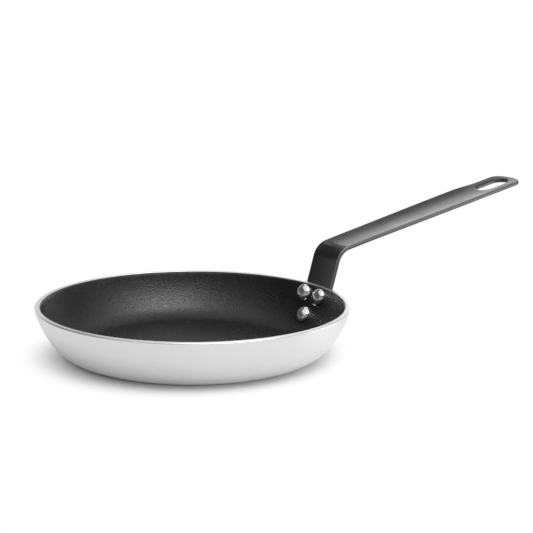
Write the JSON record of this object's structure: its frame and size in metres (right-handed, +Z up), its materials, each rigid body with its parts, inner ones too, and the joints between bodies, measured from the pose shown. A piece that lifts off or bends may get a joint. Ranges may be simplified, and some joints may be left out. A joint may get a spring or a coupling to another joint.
{
  "type": "frying pan",
  "caption": "Round aluminium frying pan with curved walls, a black non-stick lining and a riveted black steel strip handle with a hanging slot.",
  "frame": {"origin": "centre of the flat base, on the surface that the pan stands on", "axes": "+Z up, +X from the dish's centre along the handle, +Y to the left of the handle seen from the grip"},
  "size_m": [0.4464, 0.2392, 0.1079],
  "materials": {
    "spun_aluminium": "bare aluminium with fine turned lines round the wall and base, satin",
    "nonstick_film": "black non-stick film with a fine speckle and a soft sheen",
    "black_coated_steel": "smooth black baked coating on steel strip, satin",
    "rivet_aluminium": "bright polished rivet heads"
  },
  "bodies": {
    "root": {"pan_body": "spun_aluminium", "nonstick_lining": "nonstick_film", "handle_strip": "black_coated_steel", "rivet_upper_left": "rivet_aluminium", "rivet_upper_right": "rivet_aluminium", "rivet_lower": "rivet_aluminium"}
  },
  "joints": []
}
